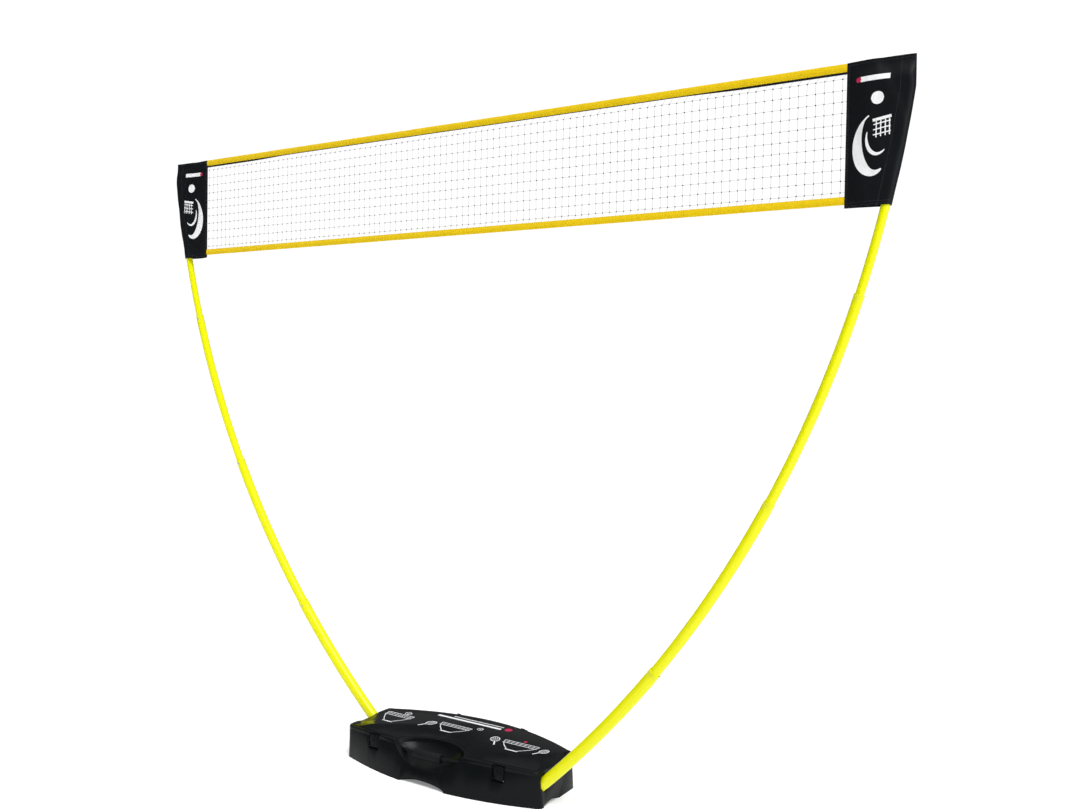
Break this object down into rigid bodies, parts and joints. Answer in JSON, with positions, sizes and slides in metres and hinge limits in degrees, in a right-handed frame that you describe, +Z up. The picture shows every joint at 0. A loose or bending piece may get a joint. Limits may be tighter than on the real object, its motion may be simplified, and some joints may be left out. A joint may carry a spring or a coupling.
{
  "type": "portable volleyball net on poles",
  "caption": "Portable net stand: a banded net between two bowed telescopic poles that rise from a flat carrying case with a hinged lid.",
  "frame": {"origin": "on the ground under the middle of the carrying case, in the net's plane", "axes": "+X along the net towards the right pole, +Y towards the lid's hinges, +Z up"},
  "size_m": [3.0268, 0.4141, 2.3005],
  "materials": {
    "case_plastic": "black moulded plastic, satin, slightly pebbled",
    "lid_print": "glossy black printed sheet with plain white line drawings",
    "pole_yellow": "lemon yellow glass fibre tube, glossy",
    "tape_yellow": "golden yellow woven webbing",
    "net_twine": "dark knotted twine",
    "panel_fabric": "black woven nylon, sewn",
    "grip_rubber": "black soft grip",
    "black_nylon": "black nylon",
    "steel": "bright spring steel"
  },
  "bodies": {
    "base": {"base_shell": "case_plastic", "carry_bar": "black_nylon", "carry_grip": "grip_rubber", "left_pole_socket": "black_nylon", "left_tube_1": "pole_yellow", "left_foot_plug": "black_nylon", "left_base_hinge_leaf": "black_nylon", "left_hinge_pin": "steel", "left_latch_pin": "steel", "right_pole_socket": "black_nylon", "right_tube_1": "pole_yellow", "right_foot_plug": "black_nylon", "right_base_hinge_leaf": "black_nylon", "right_hinge_pin": "steel", "right_latch_pin": "steel"},
    "lid": {"lid_shell": "case_plastic", "lid_print_panel": "lid_print", "left_lid_hinge_leaf": "black_nylon", "right_lid_hinge_leaf": "black_nylon"},
    "net": {"net_mesh": "net_twine", "top_tape": "tape_yellow", "bottom_tape": "tape_yellow", "top_binding": "panel_fabric", "top_cord": "net_twine", "bottom_cord": "net_twine", "left_end_panel": "panel_fabric", "right_end_panel": "panel_fabric"},
    "left_latch": {"left_latch": "black_nylon"},
    "right_latch": {"right_latch": "black_nylon"},
    "left_section_2": {"left_tube_2": "pole_yellow", "left_button_spring_1": "steel"},
    "left_snap_1": {"left_button_1": "steel"},
    "left_section_3": {"left_tube_3": "pole_yellow", "left_button_spring_2": "steel"},
    "left_snap_2": {"left_button_2": "steel"},
    "left_section_4": {"left_tube_4": "pole_yellow", "left_tip_cap": "black_nylon", "left_button_spring_3": "steel"},
    "left_snap_3": {"left_button_3": "steel"},
    "right_section_2": {"right_tube_2": "pole_yellow", "right_button_spring_1": "steel"},
    "right_snap_1": {"right_button_1": "steel"},
    "right_section_3": {"right_tube_3": "pole_yellow", "right_button_spring_2": "steel"},
    "right_snap_2": {"right_button_2": "steel"},
    "right_section_4": {"right_tube_4": "pole_yellow", "right_tip_cap": "black_nylon", "right_button_spring_3": "steel"},
    "right_snap_3": {"right_button_3": "steel"}
  },
  "joints": [
    {"name": "lid_hinge", "type": "hinge", "parent": "base", "child": "lid", "pos_m": [0, 0.239, 0.104], "axis": [-1, 0, 0], "range_deg": [0, 100]},
    {"name": "left_latch_hinge", "type": "hinge", "parent": "base", "child": "left_latch", "pos_m": [-0.268, -0.12, 0.0725], "axis": [1, 0, 0], "range_deg": [0, 75]},
    {"name": "right_latch_hinge", "type": "hinge", "parent": "base", "child": "right_latch", "pos_m": [0.268, -0.12, 0.0725], "axis": [1, 0, 0], "range_deg": [0, 75]},
    {"name": "net_lift", "type": "slide", "parent": "base", "child": "net", "axis": [0, 0, 1], "range_m": [-0.24, 0], "deforming": ["left_end_panel", "right_end_panel"]},
    {"name": "left_telescope_2", "type": "hinge", "parent": "base", "child": "left_section_2", "pos_m": [2.04961, 0.21663, 2.677], "axis": [0.061, -0.9981, 0], "range_deg": [0, 1.3], "deforming": ["left_button_1", "left_button_spring_1"]},
    {"name": "left_button_1_press", "type": "slide", "parent": "left_section_2", "child": "left_snap_1", "axis": [-0.061, 0.9981, 0], "range_m": [0, 0.0045], "stiffness_N_per_m": 400, "springref_m": -0.002, "deforming": ["left_button_spring_1"]},
    {"name": "left_telescope_3", "type": "hinge", "parent": "left_section_2", "child": "left_section_3", "pos_m": [2.04961, 0.21663, 2.677], "axis": [0.061, -0.9981, 0], "range_deg": [0, 1.3], "deforming": ["left_button_2", "left_button_spring_2"]},
    {"name": "left_button_2_press", "type": "slide", "parent": "left_section_3", "child": "left_snap_2", "axis": [-0.061, 0.9981, 0], "range_m": [0, 0.0045], "stiffness_N_per_m": 400, "springref_m": -0.002, "deforming": ["left_button_spring_2"]},
    {"name": "left_telescope_4", "type": "hinge", "parent": "left_section_3", "child": "left_section_4", "pos_m": [2.04961, 0.21663, 2.677], "axis": [0.061, -0.9981, 0], "range_deg": [0, 1.3], "deforming": ["left_button_3", "left_button_spring_3"]},
    {"name": "left_button_3_press", "type": "slide", "parent": "left_section_4", "child": "left_snap_3", "axis": [-0.061, 0.9981, 0], "range_m": [0, 0.0045], "stiffness_N_per_m": 400, "springref_m": -0.002, "deforming": ["left_button_spring_3"]},
    {"name": "right_telescope_2", "type": "hinge", "parent": "base", "child": "right_section_2", "pos_m": [-2.04961, -0.21663, 2.677], "axis": [-0.061, 0.9981, 0], "range_deg": [0, 1.3], "deforming": ["right_button_1", "right_button_spring_1"]},
    {"name": "right_button_1_press", "type": "slide", "parent": "right_section_2", "child": "right_snap_1", "axis": [0.061, -0.9981, 0], "range_m": [0, 0.0045], "stiffness_N_per_m": 400, "springref_m": -0.002, "deforming": ["right_button_spring_1"]},
    {"name": "right_telescope_3", "type": "hinge", "parent": "right_section_2", "child": "right_section_3", "pos_m": [-2.04961, -0.21663, 2.677], "axis": [-0.061, 0.9981, 0], "range_deg": [0, 1.3], "deforming": ["right_button_2", "right_button_spring_2"]},
    {"name": "right_button_2_press", "type": "slide", "parent": "right_section_3", "child": "right_snap_2", "axis": [0.061, -0.9981, 0], "range_m": [0, 0.0045], "stiffness_N_per_m": 400, "springref_m": -0.002, "deforming": ["right_button_spring_2"]},
    {"name": "right_telescope_4", "type": "hinge", "parent": "right_section_3", "child": "right_section_4", "pos_m": [-2.04961, -0.21663, 2.677], "axis": [-0.061, 0.9981, 0], "range_deg": [0, 1.3], "deforming": ["right_button_3", "right_button_spring_3"]},
    {"name": "right_button_3_press", "type": "slide", "parent": "right_section_4", "child": "right_snap_3", "axis": [0.061, -0.9981, 0], "range_m": [0, 0.0045], "stiffness_N_per_m": 400, "springref_m": -0.002, "deforming": ["right_button_spring_3"]}
  ],
  "couplings": [
    {"joint": "left_telescope_2", "follows": "net_lift", "rad_per_m": -0.094277},
    {"joint": "left_telescope_3", "follows": "net_lift", "rad_per_m": -0.094277},
    {"joint": "left_telescope_4", "follows": "net_lift", "rad_per_m": -0.094277},
    {"joint": "right_telescope_2", "follows": "net_lift", "rad_per_m": -0.094277},
    {"joint": "right_telescope_3", "follows": "net_lift", "rad_per_m": -0.094277},
    {"joint": "right_telescope_4", "follows": "net_lift", "rad_per_m": -0.094277}
  ]
}
